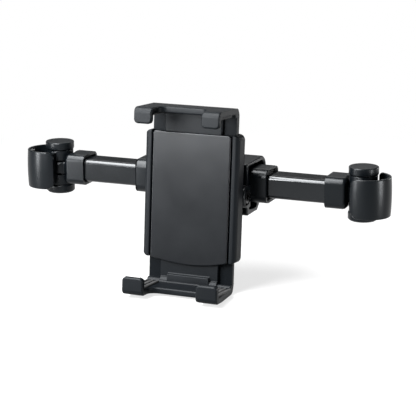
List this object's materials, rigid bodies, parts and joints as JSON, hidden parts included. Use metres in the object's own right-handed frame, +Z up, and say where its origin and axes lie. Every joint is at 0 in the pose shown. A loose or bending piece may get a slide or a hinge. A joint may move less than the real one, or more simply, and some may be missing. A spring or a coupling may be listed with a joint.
{
  "type": "headrest tablet mount",
  "caption": "Tablet holder for the back of a car seat: a telescopic crossbar with swinging post hooks carries a tilting, turning, spring-closed clamp.",
  "frame": {"origin": "middle of the crossbar sleeve, on the bar's axis", "axes": "+X along the crossbar to the right of the person who looks at the tablet, +Y away from that person, +Z up"},
  "size_m": [0.2644, 0.0967, 0.1263],
  "materials": {
    "satin_black": "satin moulded",
    "gloss_black": "glossy moulded",
    "panel_grey": "fine matte grain",
    "casing_black": "fine satin grain",
    "rubber_black": "matte ribbed",
    "steel": "zinc plated",
    "acetal": "natural"
  },
  "bodies": {
    "hub": {"crossbar_sleeve": "satin_black", "hub_saddle": "satin_black", "saddle_screws": "steel", "tilt_bolt": "steel", "tilt_nut": "steel", "mouth_bush_left": "acetal", "mouth_bush_right": "acetal", "stop_screw_left": "steel", "stop_screw_right": "steel"},
    "tilt_bracket": {"tilt_bracket": "satin_black", "swivel_washer": "acetal", "swivel_retainer": "steel", "retainer_screw": "steel"},
    "holder": {"back_shell": "casing_black", "front_cover": "panel_grey", "cover_screws": "steel", "upper_spring": "steel", "lower_spring": "steel"},
    "top_jaw": {"top_jaw": "casing_black", "top_jaw_pads": "rubber_black"},
    "bottom_jaw": {"bottom_jaw": "casing_black", "bottom_jaw_pads": "rubber_black"},
    "pinion": {"jaw_pinion": "acetal"},
    "left_arm": {"arm_tube_left": "gloss_black", "arm_end_plug_left": "satin_black", "end_collar_left": "satin_black", "collar_screw_left": "steel", "pivot_bolt_left": "steel", "bottom_cap_left": "satin_black"},
    "left_hook": {"hook_left": "satin_black", "hook_pad_left": "rubber_black"},
    "left_knob": {"clamp_knob_left": "satin_black"},
    "right_arm": {"arm_tube_right": "gloss_black", "arm_end_plug_right": "satin_black", "end_collar_right": "satin_black", "collar_screw_right": "steel", "pivot_bolt_right": "steel", "bottom_cap_right": "satin_black"},
    "right_hook": {"hook_right": "satin_black", "hook_pad_right": "rubber_black"},
    "right_knob": {"clamp_knob_right": "satin_black"}
  },
  "joints": [
    {"name": "right_arm_slide", "type": "slide", "parent": "hub", "child": "right_arm", "axis": [1, 0, 0], "range_m": [-0.009, 0.011]},
    {"name": "left_arm_slide", "type": "slide", "parent": "hub", "child": "left_arm", "axis": [-1, 0, 0], "range_m": [-0.009, 0.011]},
    {"name": "right_hook_swing", "type": "hinge", "parent": "right_arm", "child": "right_hook", "pos_m": [0.1115, 0, 0], "axis": [0, 0, 1], "range_deg": [-15, 60]},
    {"name": "left_hook_swing", "type": "hinge", "parent": "left_arm", "child": "left_hook", "pos_m": [-0.1115, 0, 0], "axis": [0, 0, -1], "range_deg": [-15, 60]},
    {"name": "right_knob_turn", "type": "hinge", "parent": "right_arm", "child": "right_knob", "pos_m": [0.1115, 0, 0], "axis": [0, 0, 1], "continuous": true},
    {"name": "left_knob_turn", "type": "hinge", "parent": "left_arm", "child": "left_knob", "pos_m": [-0.1115, 0, 0], "axis": [0, 0, 1], "continuous": true},
    {"name": "holder_tilt", "type": "hinge", "parent": "hub", "child": "tilt_bracket", "pos_m": [0.0032, -0.0168, -0.006], "axis": [1, 0, 0], "range_deg": [-10, 20]},
    {"name": "holder_spin", "type": "hinge", "parent": "tilt_bracket", "child": "holder", "pos_m": [0.0032, -0.0168, -0.006], "axis": [0, 0.9962, -0.0872], "continuous": true},
    {"name": "top_jaw_slide", "type": "slide", "parent": "holder", "child": "top_jaw", "axis": [0, 0.0872, 0.9962], "range_m": [0, 0.034], "stiffness_N_per_m": 150, "springref_m": -0.03, "deforming": ["upper_spring"]},
    {"name": "bottom_jaw_slide", "type": "slide", "parent": "holder", "child": "bottom_jaw", "axis": [0, -0.0872, -0.9962], "range_m": [0, 0.034], "deforming": ["lower_spring"]},
    {"name": "pinion_spin", "type": "hinge", "parent": "holder", "child": "pinion", "pos_m": [0.0032, -0.0168, -0.006], "axis": [0, 0.9962, -0.0872], "range_deg": [0, 278.8]}
  ],
  "couplings": [
    {"joint": "bottom_jaw_slide", "follows": "top_jaw_slide", "ratio": 1},
    {"joint": "pinion_spin", "follows": "top_jaw_slide", "rad_per_m": 142.86}
  ]
}
